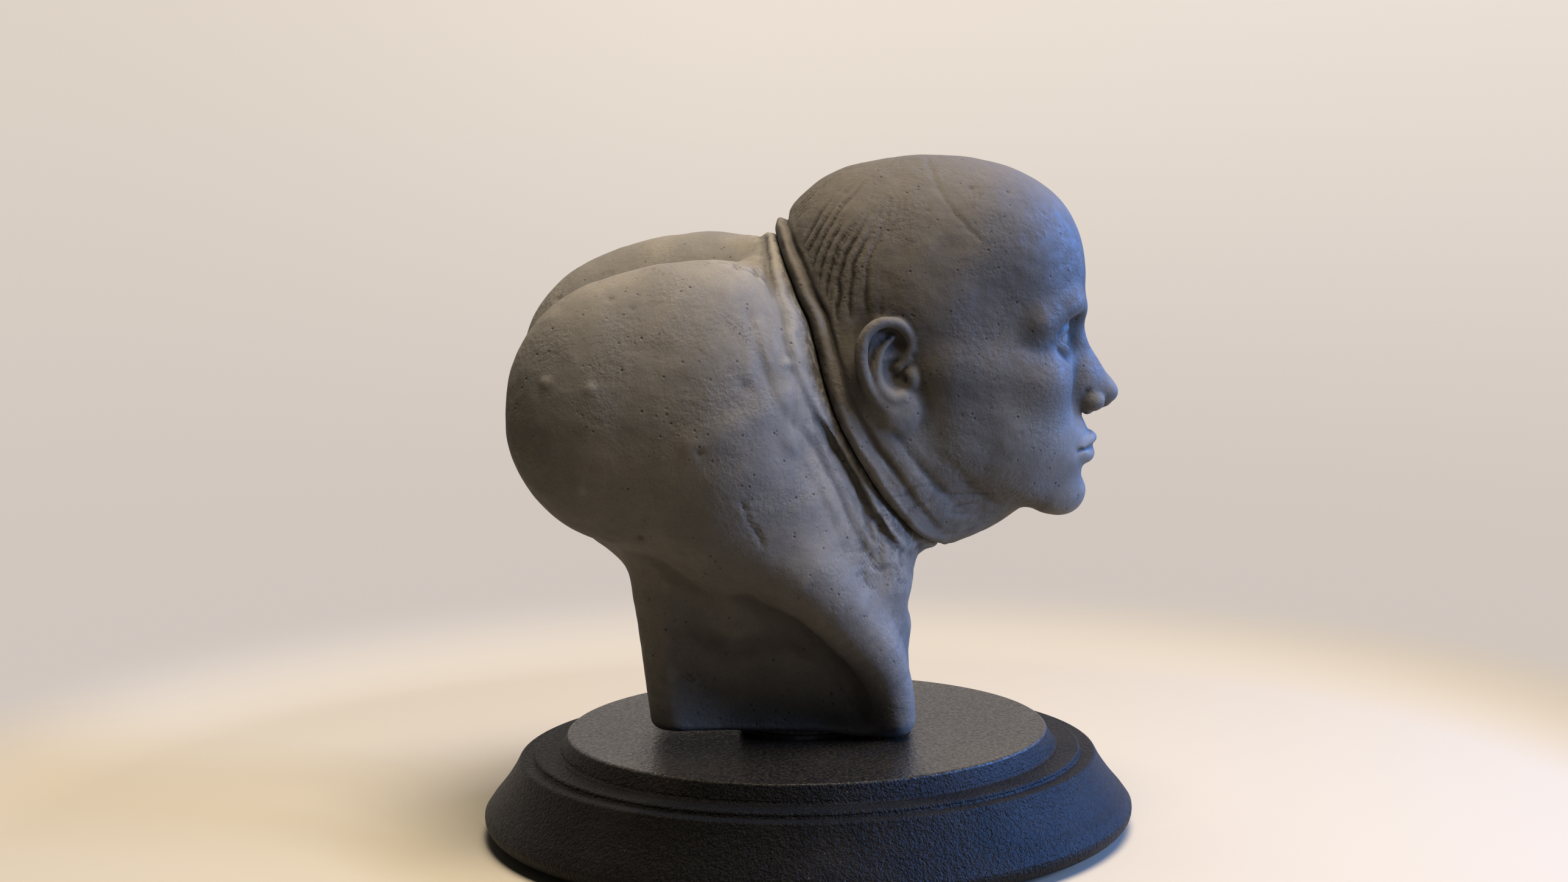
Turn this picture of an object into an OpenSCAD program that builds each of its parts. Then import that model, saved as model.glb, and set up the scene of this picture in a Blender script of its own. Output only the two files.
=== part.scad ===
// Modelled clay bust on a turned round plinth.
// The bust is clay laid over foil cores on a post-and-wire armature. The post runs through a
// sleeve in the plinth and is held below by a spring washer and a lock nut, so the whole bust
// turns on its plinth against light friction.
// Origin: centre of the plinth's footprint on the table. +Z up, the head faces +X, its left is +Y.
// Throughout, side is 1 for the left and -1 for the right.

/* [Plinth] */
// Greatest radius of the plinth, just above its bottom edge
plinth_r = 82.5; // [79:0.5:90]
// Height of the plinth's top face above the table
plinth_top = 25.3; // [24.6:0.1:27]
// Radius of the raised top disc
disc_r = 60.6; // [57:0.1:62]
// Radius of the outer ledge, where the sloping skirt starts
ledge_r = 73.0; // [71:0.1:76]
// Height of the outer ledge above the table
ledge_z = 19.4; // [18:0.1:20]

/* [Feet] */
// Number of rubber feet under the plinth
foot_count = 4; // [3:1:6]
// Radius of the circle the feet sit on
foot_circle_r = 62; // [50:1:70]
// Radius of one foot
foot_r = 6; // [4:0.5:8]

/* [Post and nut] */
// Radius of the steel armature post
post_r = 3; // [2.5:0.25:3.5]
// Height of the top end of the post
post_top = 112; // [100:1:116]
// Width of both nuts across their flats
nut_flats = 10; // [9:0.5:12]

/* [Wires] */
// Radius of the aluminium armature wires
wire_r = 1.6; // [1:0.1:2]

/* [Bust] */
// Height of the clay sole's front edge above the table
sole_z = 26.6; // [26.5:0.1:27.5]
// How far the heel of the sole is lifted above its front edge
heel_lift = 1.8; // [0:0.1:3]
// Lateral distance from the midline to the middle of each shoulder mass
shoulder_y = 24; // [21:0.5:27]
// How much higher the left shoulder mass stands than the right one
shoulder_step = 6; // [0:0.5:8]
// Gap between the head casting and the neck socket at the seam
seam_gap = 0.3; // [0.2:0.05:0.6]

/* [Head] */
// Half-width of the skull
skull_w = 30.5; // [28:0.5:33]
// Radius of one eyeball
eye_r = 5.0; // [4.5:0.1:5.4]

/* [Hidden] */
sides = [-1, 1];
round_fn = 96;            // facets of the turned parts
blob_fn = 30;             // facets of the larger clay masses
core_fn = 26;             // facets of the foil cores
part_gap = 0.05;          // keeps stacked parts from touching

clay_colour = [0.36, 0.35, 0.33];
foil_colour = [0.66, 0.66, 0.67];
wire_colour = [0.78, 0.79, 0.80];

// Plinth and what hangs below it
foot_h = 1.6;             // height of the rubber feet below the board
screw_hole_r = 1.3;
bore_r = 4.6;             // hole in the board for the sleeve
recess_r = 13;            // counterbore under the board
recess_z = 13.2;          // ceiling of the counterbore
sleeve_in_r = post_r + 0.06;
sleeve_out_r = bore_r - 0.02;
sleeve_top = plinth_top - 0.1;
flange_r = bore_r + 3.2;
flange_top = recess_z - part_gap;
flange_z = flange_top - 1.4;
washer_r = 9;
washer_t = 1.5;
washer_z = flange_z - part_gap - washer_t;
spring_in_r = post_r + 0.25;
spring_out_r = 7.6;
spring_t = 0.7;
spring_z = washer_z - 1.8;
lock_nut_h = 5;
lock_nut_z = spring_z - part_gap - lock_nut_h;
thread_z = 3.2;           // bottom end of the post
thread_top = 12.2;
thread_pitch = 1.0;
thread_depth = 0.3;

// Foot of the bust
slip_t = 1.0;
plate_r = 16;
plate_t = 2.4;
plate_z = plinth_top + slip_t + part_gap;
plate_top = plate_z + plate_t;
jam_nut_z = plate_top + part_gap;
jam_nut_h = 4;
nut_room_r = 6.4;         // hollow round the jam nut
cut_z = 20;               // start of the cuts made up into the bust, below its sole

// Wires
wire_offset = post_r + wire_r + 0.15;     // post's axis to the axis of a wire beside it
wrap_in_r = post_r + 2 * wire_r + 0.35;
wrap_r = wrap_in_r + 1.1;
wrap_t = 1.2;
wrap_heights = [76, 77.6, 79.2, 95.2, 96.8];

// Foil cores, one mass a line: centre, half-sizes
torso_core_masses = [
    [[-22, 0, 98], [36, 27, 28]],
    [[-6, 0, 62], [19, 13, 27]]];
head_core_masses = [
    [[34, 0, 134], [27, 19, 25]],
    [[42, 0, 112], [15, 12, 18]]];
core_gap = 0.3;           // clay to foil

// Neck seam
seam_centre = [14.2, 0, 111.3];
seam_tilt = -27.3;        // lean of the seam plane from vertical, about Y
seam_bow_r = 76;          // radius of the seam's bow round the neck
seam_reach = 120;         // how far the seam's cutter extends each way

// Chest ridge from shoulder to front corner: x, distance from the midline, z, radius
ridge_stations = [
    [-22, 26, 86, 15],
    [-7, 26, 73, 10.5],
    [11.3, 23.2, 57, 8.2],
    [21.2, 18.8, 38.5, 5.6],
    [21.6, 18, 32, 5.2]];

/* ---------- shared shapes ---------- */

module ball(centre, radius, facets)
    translate(centre) sphere(r = radius, $fn = facets);

// An egg round the origin, given its half-sizes.
module egg(half_sizes, facets = blob_fn)
    scale(half_sizes) sphere(r = 1, $fn = facets);

// An egg-shaped mass, tilted about Y.
module mass(centre, half_sizes, tilt = 0, facets = blob_fn)
    hull() translate(centre) rotate([0, tilt, 0]) egg(half_sizes, facets);

module hex_prism(flats, height)
    cylinder(r = flats / 2 / cos(30), h = height, $fn = 6);

// The children raised to z, with a round hole cut along the axis.
module bored(z, hole_r, hole_h)
    translate([0, 0, z]) difference() {
        children();
        translate([0, 0, -1]) cylinder(r = hole_r, h = hole_h, $fn = 48);
    }

// A straight round rod between two points.
module rod(start, end, radius) {
    run = end - start;
    length = norm(run);
    translate(start) rotate([0, acos(run[2] / length), atan2(run[1], run[0])])
        cylinder(r = radius, h = length, $fn = 24);
}

// A wire through three points, with a ball at the bend.
module bent_wire(path, radius) {
    rod(path[0], path[1], radius);
    rod(path[1], path[2], radius);
    ball(path[1], radius + 0.03, 24);
}

// Places the children in a frame that leans with the neck seam.
module lean_with_seam(place = seam_centre)
    translate(place) rotate([0, seam_tilt, 0]) children();

/* ---------- plinth ---------- */

function arc(x, z, radius, start, end, steps) =
    [for (i = [0 : steps])
        let (angle = start + (end - start) * i / steps)
        [x + radius * cos(angle), z + radius * sin(angle)]];

skirt_foot = [plinth_r - 0.3, foot_h + 5.2];
skirt_head = [ledge_r + 0.7, ledge_z - 1.2];
skirt_hollow = 0.55;

module plinth_profile() polygon(concat(
    [[bore_r, plinth_top], [bore_r, recess_z], [recess_r, recess_z], [recess_r, foot_h]],
    // bottom edge, rolled up to the widest line
    [[plinth_r - 4.2, foot_h]],
    arc(plinth_r - 3.6, foot_h + 3.7, 3.6, -80, 12, 8),
    // the sloping skirt, faintly hollow
    [for (t = [0.15 : 0.17 : 0.95])
        skirt_foot + (skirt_head - skirt_foot) * t - [skirt_hollow * sin(180 * t), 0]],
    arc(ledge_r - 0.45, ledge_z - 1.1, 1.1, 15, 90, 5),
    // outer ledge, then the small second step
    [[ledge_r - 3.2, ledge_z - 0.05]],
    arc(ledge_r - 4.25, ledge_z + 0.5, 0.75, -5, 90, 5),
    [[ledge_r - 9.2, ledge_z + 1.3]],
    // wall of the top disc: a low cove, then a rounded rim
    arc(disc_r + 3.3, ledge_z + 2.5, 1.15, -95, -170, 5),
    [[disc_r + 1.3, plinth_top - 2.0]],
    arc(disc_r - 0.35, plinth_top - 1.0, 1.0, 30, 90, 5)));

// Repeats the children at every foot.
module at_feet()
    for (i = [0 : foot_count - 1]) rotate([0, 0, 45 + i * 360 / foot_count])
        translate([foot_circle_r, 0, 0]) children();

module plinth() color([0.07, 0.068, 0.065])
    difference() {
        rotate_extrude($fn = round_fn) plinth_profile();
        at_feet() translate([0, 0, foot_h - 0.01]) cylinder(r = screw_hole_r, h = 8, $fn = 24);
    }

// Sleeve through the board, with a flange under the counterbore's ceiling.
module plinth_sleeve() color([0.86, 0.85, 0.80])
    rotate_extrude($fn = round_fn) polygon([
        [sleeve_in_r, sleeve_top], [sleeve_out_r, sleeve_top],
        [sleeve_out_r, flange_top], [flange_r, flange_top],
        [flange_r, flange_z], [sleeve_in_r, flange_z]]);

module slip_disc() color([0.05, 0.048, 0.045])
    bored(plinth_top + 0.02, post_r + 0.3, slip_t + 2)
        cylinder(r = plate_r + 1, h = slip_t, $fn = round_fn);

// Feet with a wide hollow below for the screw head.
module rubber_feet() color([0.03, 0.03, 0.03])
    at_feet() rotate_extrude($fn = 48) polygon([
        [0, 0.9], [2.4, 0.9], [2.4, 0], [foot_r - 0.5, 0], [foot_r, 0.5],
        [foot_r - 0.4, foot_h - 0.02], [screw_hole_r, foot_h - 0.02],
        [screw_hole_r, 1.2], [0, 1.2]]);

module feet_screws() color([0.62, 0.62, 0.63])
    at_feet() rotate_extrude($fn = 32) polygon([
        [0, 1.22], [1.25, 1.22], [1.25, 8.2], [0.2, 9.4], [0, 9.4]]);

/* ---------- armature ---------- */

// The post's lower end: a stack of annular ridges in place of a thread.
module post_thread() {
    count = floor((thread_top - thread_z) / thread_pitch);
    root_r = post_r - thread_depth;
    end_z = thread_z + count * thread_pitch;
    rotate_extrude($fn = round_fn) polygon(concat(
        [[0, thread_z]],
        [for (i = [0 : count - 1]) each [
            [root_r, thread_z + i * thread_pitch],
            [post_r, thread_z + (i + 0.5) * thread_pitch]]],
        [[root_r, end_z], [0, end_z]]));
}

module armature_post() color([0.70, 0.71, 0.72]) {
    post_thread();
    translate([0, 0, thread_top]) cylinder(r = post_r, h = post_top - thread_top, $fn = 64);
}

module foot_plate() color([0.55, 0.56, 0.57])
    bored(plate_z, post_r + 0.03, plate_t + 2)
        cylinder(r = plate_r, h = plate_t, $fn = round_fn);

module jam_nut() color([0.70, 0.70, 0.68])
    bored(jam_nut_z, post_r + 0.03, jam_nut_h + 2) hex_prism(nut_flats, jam_nut_h);

module flat_washer() color([0.72, 0.73, 0.74])
    bored(washer_z, post_r + 0.2, 4) cylinder(r = washer_r, h = washer_t, $fn = round_fn);

// A shallow cone that presses the flat washer against the sleeve's flange.
module spring_washer() color([0.45, 0.45, 0.46])
    rotate_extrude($fn = round_fn) polygon([
        [spring_in_r, spring_z], [spring_in_r, spring_z + spring_t],
        [spring_out_r, washer_z - part_gap], [spring_out_r, washer_z - part_gap - spring_t]]);

module lock_nut() color([0.74, 0.74, 0.72])
    bored(lock_nut_z, post_r + 0.03, 8) union() {
        hex_prism(nut_flats, lock_nut_h);
        cylinder(r = nut_flats / 2 - 0.5, h = lock_nut_h - 0.05, $fn = 48);
    }

// Each neck strand runs up beside the post, then forwards and up into the head.
function neck_path(side) = [
    [0, side * wire_offset, 74],
    [0, side * wire_offset, 102],
    [34, side * 3.4, 126]];

// The cross wire runs behind the post and out into both shoulder masses.
shoulder_path = [[-34, -21, 118], [-wire_offset, 0, 88], [-34, 21, 122]];

module neck_wires() color(wire_colour)
    for (side = sides) bent_wire(neck_path(side), wire_r);

module shoulder_wire() color(wire_colour) bent_wire(shoulder_path, wire_r);

// Wraps of thin wire that tie the neck strands and the cross wire to the post.
module binding_wire() color([0.62, 0.63, 0.64])
    for (z = wrap_heights) bored(z - wrap_t / 2, wrap_in_r + 0.05, 4)
        cylinder(r = wrap_r, h = wrap_t, $fn = 48);

/* ---------- foil cores ---------- */

module core_form(masses, grow = 0)
    for (entry = masses)
        mass(entry[0], entry[1] + grow * [1, 1, 1], facets = core_fn);

// Room for the armature wires, wider than them by gap all round.
module wire_channels(gap) {
    for (side = sides) bent_wire(neck_path(side), wire_r + gap);
    bent_wire(shoulder_path, wire_r + gap);
}

module wrap_channels(gap)
    for (z = wrap_heights) translate([0, 0, z - wrap_t / 2 - gap])
        cylinder(r = wrap_r + gap, h = wrap_t + 2 * gap, $fn = 48);

module torso_core() color(foil_colour)
    difference() {
        core_form(torso_core_masses);
        translate([0, 0, cut_z]) cylinder(r = post_r + 0.1, h = post_top - cut_z + 1, $fn = 32);
        translate([0, 0, plate_top - 1]) cylinder(r = nut_room_r, h = 6.2, $fn = 24);
        wire_channels(0.15);
        wrap_channels(0.15);
    }

module head_core() color(foil_colour)
    difference() {
        core_form(head_core_masses);
        wire_channels(0.15);
    }

/* ---------- torso clay ---------- */

// Everything behind the neck seam, which bows back round the sides of the neck.
// A positive gap draws the boundary backwards.
module behind_seam(gap)
    lean_with_seam() {
        translate([-seam_bow_r, 0, 0])
            cylinder(r = seam_bow_r - gap, h = 2 * seam_reach, center = true, $fn = 90);
        translate([-200 - seam_bow_r, -seam_reach, -seam_reach])
            cube([200, 2 * seam_reach, 2 * seam_reach]);
    }

// One shoulder mass with the upper arm cut off short, and a smaller mass below it in front.
module shoulder(side) {
    up = side > 0 ? shoulder_step : 0;
    back = side > 0 ? 2 : 0;
    hull() {
        mass([-38 - back, side * shoulder_y, 108 + up], [35, 22, 35]);
        mass([-14, side * (shoulder_y + 2), 104 + up], [24, 21, 40]);
    }
    mass([2, side * 24, 78], [22, 17, 24]);
}

module neck_form() hull() {
    lean_with_seam() egg([5, 32, 43]);
    lean_with_seam([0, 0, 106]) egg([10, 36, 44]);
}

// The block the bust stands on: a soft-cornered foot that widens upwards.
// Each side is scooped hollow.
module pedestal() difference() {
    hull() {
        for (x = [-30, 19]) for (y = [-17, 17]) ball([x, y, sole_z + 6.5], 8.3, 24);
        for (x = [-31, 12]) for (y = [-20, 20]) ball([x, y, 66], 13, 24);
    }
    for (side = sides) mass([-8, side * 36, 43], [28, 17.5, 24]);
}

// The ridge that sweeps from under each shoulder down to the front corner of the block.
module chest_ridge(side)
    for (i = [0 : len(ridge_stations) - 2])
        hull() for (station = [ridge_stations[i], ridge_stations[i + 1]])
            ball([station[0], side * station[1], station[2]], station[3], 20);

module torso_form() {
    for (side = sides) shoulder(side);
    mass([-24, 0, 108], [44, 30, 34]);
    pedestal();
    for (side = sides) {
        // low mass beside the midline, at the front of the block
        mass([8, side * 8, 46], [17.8, 11.5, 20]);
        chest_ridge(side);
    }
    neck_form();
}

// Everything below the clay's sole, tilted so that the heel stands clear of the plinth.
module under_sole() hull() {
    translate([-90, -60, 0]) cube([1, 120, sole_z + heel_lift * 2]);
    translate([40, -60, 0]) cube([1, 120, sole_z - 0.25]);
}

module torso_clay() color(clay_colour)
    difference() {
        intersection() {
            torso_form();
            behind_seam(seam_gap / 2);
        }
        under_sole();
        core_form(torso_core_masses, core_gap);
        // room for the foot plate, then for the jam nut
        translate([0, 0, cut_z]) cylinder(r = plate_r + 0.1, h = jam_nut_z - cut_z, $fn = 48);
        translate([0, 0, plate_top - 0.5]) cylinder(r = nut_room_r, h = 12, $fn = 24);
        wire_channels(0.2);
    }

/* ---------- head clay ---------- */

module jaw() hull() {
    for (side = sides) ball([34, side * 19, 98], 5, 20);
    // chin
    translate([64, 0, 84]) egg([6.5, 8, 5.5], 20);
}

// Bridge, tip and the two wings.
module nose() hull() {
    ball([70.5, 0, 125], 2, 16);
    ball([76, 0, 108.5], 3.6, 16);
    for (side = sides) ball([71.5, side * 4.4, 107], 2.6, 16);
}

module lips() mass([70, 0, 96], [3.6, 9, 4.6], facets = 20);

module ear(side) mass([21.5, side * 30.5, 118], [7.8, 3.4, 12.3], tilt = -8, facets = 20);

// Throat and neck in front of the seam.
module throat() hull() {
    lean_with_seam() for (x = [-9, 2]) translate([x, 0, 0]) egg([3, 31, 43]);
    mass([40, 0, 96], [20, 22, 20]);
}

module head_form() {
    // skull, then the lower face
    mass([31, 0, 132], [40, skull_w, 38], facets = 36);
    mass([50, 0, 108], [20.5, 24, 27]);
    jaw();
    nose();
    lips();
    for (side = sides) ear(side);
    throat();
}

function eye_centre(side) = [61, side * 11.8, 124.2];

module eyeballs() color([0.38, 0.37, 0.35])
    for (side = sides) ball(eye_centre(side), eye_r, 48);

// Socket round the eyeball, with a lid opening in front of it.
module eye_socket(side) {
    ball(eye_centre(side), eye_r + 0.15, 24);
    hull() for (y = [-3.6, 3.6]) translate(eye_centre(side) + [4, y, 0])
        rotate([0, 90, 0]) cylinder(r = 1.8, h = 8, $fn = 16);
}

module head_clay() color(clay_colour)
    difference() {
        head_form();
        behind_seam(-seam_gap / 2);
        core_form(head_core_masses, core_gap);
        for (side = sides) eye_socket(side);
        wire_channels(0.2);
    }

plinth();
plinth_sleeve();
slip_disc();
rubber_feet();
feet_screws();
torso_clay();
head_clay();
eyeballs();
torso_core();
head_core();
armature_post();
foot_plate();
jam_nut();
neck_wires();
shoulder_wire();
binding_wire();
flat_washer();
spring_washer();
lock_nut();
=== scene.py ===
"""Looks of a clay bust on a round plinth.

The bust faces +X with its left side towards +Y, and the plinth's axis is Z. The head and torso
castings are sculpted as distance fields, meshed and given finer surface relief. Sculpting is in
millimetres and Blender in metres.
"""

import math
from functools import reduce
from itertools import product

import bmesh
import bpy
import numpy as np
import openvdb
from mathutils import Matrix, Vector


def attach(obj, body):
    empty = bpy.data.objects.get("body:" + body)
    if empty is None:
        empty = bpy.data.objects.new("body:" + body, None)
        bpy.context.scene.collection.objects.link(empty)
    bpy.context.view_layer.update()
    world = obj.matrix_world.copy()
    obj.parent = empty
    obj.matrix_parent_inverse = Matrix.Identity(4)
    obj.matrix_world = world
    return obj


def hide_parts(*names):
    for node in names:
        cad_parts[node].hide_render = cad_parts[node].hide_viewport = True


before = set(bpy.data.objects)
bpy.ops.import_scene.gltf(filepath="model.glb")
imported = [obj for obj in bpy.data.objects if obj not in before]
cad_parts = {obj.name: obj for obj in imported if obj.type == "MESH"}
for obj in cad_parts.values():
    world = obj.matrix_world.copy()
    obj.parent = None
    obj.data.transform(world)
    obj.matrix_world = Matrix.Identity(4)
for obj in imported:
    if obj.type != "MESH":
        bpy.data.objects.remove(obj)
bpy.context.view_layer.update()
FLOAT = np.float32
MM = 0.001
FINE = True
HEAD_VOXEL = 0.56 if FINE else 0.8
TORSO_VOXEL = 0.78 if FINE else 1.05
HEAD_BOX = ((-14, -38, 62), (84, 38, 176))
TORSO_BOX = ((-80, -52, 22), (36, 52, 162))


# Field helpers

def vec(*values):
    return np.array(values, FLOAT)


def length(rows):
    return np.sqrt((rows * rows).sum(-1))


def smin(a, b, blend):
    """Union of two fields, rounded over the blend width."""
    h = np.maximum(blend - np.abs(a - b), 0) / blend
    return np.minimum(a, b) - h * h * blend * 0.25


def smax(a, b, blend):
    return -smin(-a, -b, blend)


def ease(start, end, value):
    """0 at start, 1 at end, smooth between. Start may be the larger."""
    t = np.clip((value - start) / (end - start), 0, 1)
    return t * t * (3 - 2 * t)


def bell(offset, width):
    return np.exp(-(offset / width) ** 2)


# Shapes: each call returns a function from points to distances

def oval(centre, radii, tilt=0.0):
    """Ellipsoid, tilted about Y by some degrees."""
    centre, radii = vec(*centre), vec(*radii)
    c, s = math.cos(math.radians(tilt)), math.sin(math.radians(tilt))

    def shape(pts):
        q = pts - centre
        if tilt:
            q = np.stack([q[:, 0] * c - q[:, 2] * s, q[:, 1], q[:, 0] * s + q[:, 2] * c], 1)
        scaled = length(q / radii)
        slope = length(q / (radii * radii))
        return scaled * (scaled - 1) / np.maximum(slope, 1e-5)
    return shape


def rod(start, end, start_r, end_r):
    """Round-ended rod whose radius runs from start_r to end_r."""
    start = vec(*start)
    axis = vec(*end) - start

    def shape(pts):
        local = pts - start
        t = np.clip(local @ axis / (axis @ axis), 0, 1)
        return length(local - t[:, None] * axis) - (start_r + (end_r - start_r) * t)
    return shape


def union(*shapes):
    return lambda pts: reduce(np.minimum, (shape(pts) for shape in shapes))


def spline(rows, steps):
    """Catmull-Rom through rows of (x, y, z, radius)."""
    p = np.array(rows, float)
    p = np.vstack([2 * p[0] - p[1], p, 2 * p[-1] - p[-2]])
    out = []
    for i in range(1, len(p) - 2):
        for t in np.linspace(0, 1, steps, endpoint=False):
            out.append(0.5 * ((2 * p[i]) + (p[i + 1] - p[i - 1]) * t
                              + (2 * p[i - 1] - 5 * p[i] + 4 * p[i + 1] - p[i + 2]) * t * t
                              + (3 * p[i] - p[i - 1] - 3 * p[i + 1] + p[i + 2]) * t ** 3))
    out.append(p[-2])
    return np.array(out, FLOAT)


def tube(*rows, steps=5):
    """Curved tube through rows of (x, y, z, radius), with some steps to a span."""
    line = spline(rows, steps)
    return union(*(rod(a[:3], b[:3], float(a[3]), float(b[3])) for a, b in zip(line[:-1], line[1:])))


class Clay:
    """Distances at points, changed by soft shapes.

    Each add or cut blends one shape over the blend width, only at points inside the cube of
    half-width reach around place.
    """

    def __init__(self, pts, dist):
        self.pts, self.dist = pts, dist

    def near(self, place, reach):
        return np.nonzero((np.abs(self.pts - vec(*place)) < reach).all(1))[0]

    def add(self, place, reach, blend, shape):
        i = self.near(place, reach)
        if len(i):
            self.dist[i] = smin(self.dist[i], shape(self.pts[i]), blend)

    def cut(self, place, reach, blend, shape):
        i = self.near(place, reach)
        if len(i):
            self.dist[i] = smax(self.dist[i], -shape(self.pts[i]), blend)


# Noise

def hashed(cell, seed):
    """A fixed random value in -1..1 for each whole-number cell."""
    h = (cell[:, 0].astype(np.uint32) * np.uint32(374761393)
         + cell[:, 1].astype(np.uint32) * np.uint32(668265263)
         + cell[:, 2].astype(np.uint32) * np.uint32(2147483647)
         + np.uint32(seed * 144665 + 1013904223))
    h = (h ^ (h >> np.uint32(13))) * np.uint32(1274126177)
    h = (h ^ (h >> np.uint32(16))) * np.uint32(2246822519)
    h = h ^ (h >> np.uint32(15))
    return h.astype(np.float32) / np.float32(4294967295.0) * 2 - 1


def noise(pts, seed):
    cell = np.floor(pts).astype(np.int64)
    f = (pts - cell).astype(FLOAT)
    u = f * f * f * (f * (f * 6 - 15) + 10)
    out = 0
    for corner in product((0, 1), repeat=3):
        wx, wy, wz = (u[:, k] if corner[k] else 1 - u[:, k] for k in range(3))
        out = out + wx * wy * wz * hashed(cell + np.array(corner), seed)
    return out.astype(FLOAT)


def two_octaves(pts, seed):
    return noise(pts, seed) + 0.5 * noise(pts * 2.0 + 17.3, seed + 1)


def pits(pts, cell, seed, share, radii):
    """Depth 0..1 of scattered round pits, in about a share of the cells."""
    base = np.floor(pts / cell).astype(np.int64)
    small, large = radii
    out = np.zeros(len(pts), FLOAT)
    for offset in product((-1, 0, 1), repeat=3):
        c = base + np.array(offset)
        centre = np.stack([hashed(c, seed + k) for k in range(3)], 1) * 0.42 + 0.5
        used = hashed(c, seed + 7) * 0.5 + 0.5 < share
        r = small + (large - small) * (hashed(c, seed + 9) * 0.5 + 0.5)
        away = length((pts - (c + centre) * cell).astype(FLOAT))
        out = np.maximum(out, used * np.clip(1 - (away / r) ** 2, 0, 1))
    return out.astype(FLOAT)


# Neck seam, where the castings meet

SEAM_TILT = -27.3
SEAM_AT = vec(14.2, 0.0, 111.3)
SEAM_NORMAL = vec(math.cos(math.radians(SEAM_TILT)), 0.0, -math.sin(math.radians(SEAM_TILT)))
SEAM_RISE = vec(-SEAM_NORMAL[2], 0.0, SEAM_NORMAL[0])  # from throat to nape
SEAM_GAP = 0.16  # from the seam to each casting
NECK = oval((14.0, 0, 111.3), (26, 30.4, 44.4), SEAM_TILT)


def seam(pts):
    """Signed distance to the seam, positive on the head's side. It bows back round the sides."""
    flat = (pts - SEAM_AT) @ SEAM_NORMAL
    wander = 0.6 * noise(pts * 0.055, 5) + 0.3 * noise(pts * 0.17, 6)
    low = ease(136, 104, pts[:, 2]) * ease(3, 24, np.abs(pts[:, 1]))
    return flat + 3.6 * (pts[:, 1] / 30) ** 2 + 5.0 * low - 0.6 + wander


def round_neck(pts):
    """Position round the neck: 0 at the throat, 1 at the nape."""
    return np.clip(((pts - SEAM_AT) @ SEAM_RISE) / 90 + 0.5, 0, 1)


# Hollows inside the castings

WIRE_Y = 4.75
CHANNEL_R = 1.8


def channel(start, end):
    return rod(start, end, CHANNEL_R, CHANNEL_R)


WIRES = union(
    *(channel((0, s * WIRE_Y, 74), (0, s * WIRE_Y, 102)) for s in (-1, 1)),
    *(channel((0, s * WIRE_Y, 102), (34, s * 3.4, 126)) for s in (-1, 1)),
    *(channel(end, (-WIRE_Y, 0, 88)) for end in ((-34, -21, 118), (-34, 21, 122))))
HEAD_CORE = union(oval((34, 0, 134), (27.3, 19.3, 25.3)), oval((42, 0, 112), (15.3, 12.3, 18.3)))
TORSO_CORE = union(oval((-22, 0, 98), (36.3, 27.3, 28.3)), oval((-6, 0, 62), (19.3, 13.3, 27.3)))
# Bores up the Z axis: radius, top
PLATE_BORE = (16.15, 28.85)
NUT_BORE = (6.4, 40.0)


def bore(rho, z, radius, top):
    return np.maximum(rho - radius, z - top)


# Head. Its parts are shaped on the left and mirrored

EYE = (61.0, 11.8, 124.2)
EYE_R = 5.0
LID = 0.9
EYE_GAP = 0.05
EYE_CORNERS = (6.3, 17.2)  # y of the inner and outer corners of the lid opening
EAR = (21.0, 28.6, 118.3)
EAR_TURN, EAR_LEAN = math.radians(19), math.radians(9)
EAR_STRETCH = 1.14


def skull(clay):
    # forehead, back of the skull, crown, temples
    clay.add((50, 0, 146), 40, 12, oval((49.5, 0, 146), (18.5, 21, 17)))
    clay.add((6, 0, 128), 40, 10, oval((8, 0, 130), (15.5, 20, 21)))
    clay.add((14, 0, 142), 40, 6, oval((15.5, 0, 139), (21.0, 25, 26.5)))
    clay.cut((58, 36, 134), 30, 9, oval((55, 36.0, 131), (13, 8.0, 13)))


def cheeks_and_jaw(clay):
    clay.add((46, 0, 108), 50, 8, oval((45.5, 0, 108), (20.5, 20, 28)))
    clay.add((40, 19, 108), 36, 9, oval((41, 17.0, 106), (14, 8.2, 15)))
    clay.add((54, 12, 101), 34, 8, oval((53.5, 10.5, 101), (12, 9.5, 13)))
    clay.add((48, 13, 92), 40, 6, rod((36, 17.3, 98.5), (61.0, 6.5, 84.9), 4.6, 4.4))
    clay.add((34, 22, 108), 30, 8, rod((35.5, 18, 99), (33, 22.6, 117), 4.6, 4.6))
    clay.add((58, 14, 114), 28, 8, oval((57.6, 13.6, 113.8), (7.6, 7.4, 6.0)))
    clay.add((48, 21, 117), 34, 8, rod((57.5, 17.4, 115.6), (37, 24.6, 118.5), 2.8, 2.2))


def brow_and_sockets(clay):
    clay.add((66, 9, 131), 26, 5, rod((67.9, 3.0, 130.0), (65.2, 12.5, 131.8), 2.9, 2.7))
    clay.add((61, 17, 130), 22, 6, rod((65.2, 12.5, 131.8), (58.6, 20.0, 128.6), 2.7, 2.0))
    clay.cut((70, 12.5, 124.5), 20, 5, oval((71.0, 12.4, 124.8), (6.4, 8.6, 4.5)))
    clay.cut((69, 6, 125), 14, 3.5, oval((69.6, 6.4, 124.9), (2.9, 2.4, 3.4)))


def muzzle_and_chin(clay):
    clay.add((63, 0, 96), 34, 6, oval((62.6, 0, 96.4), (10.2, 12.2, 11.5)))
    clay.add((65, 0, 84.5), 26, 5, oval((65.2, 0, 84.8), (6.3, 8.0, 6.2)))
    clay.cut((73, 0, 90), 16, 4, oval((74.6, 0, 90.0), (3.4, 9, 1.9)))


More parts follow.
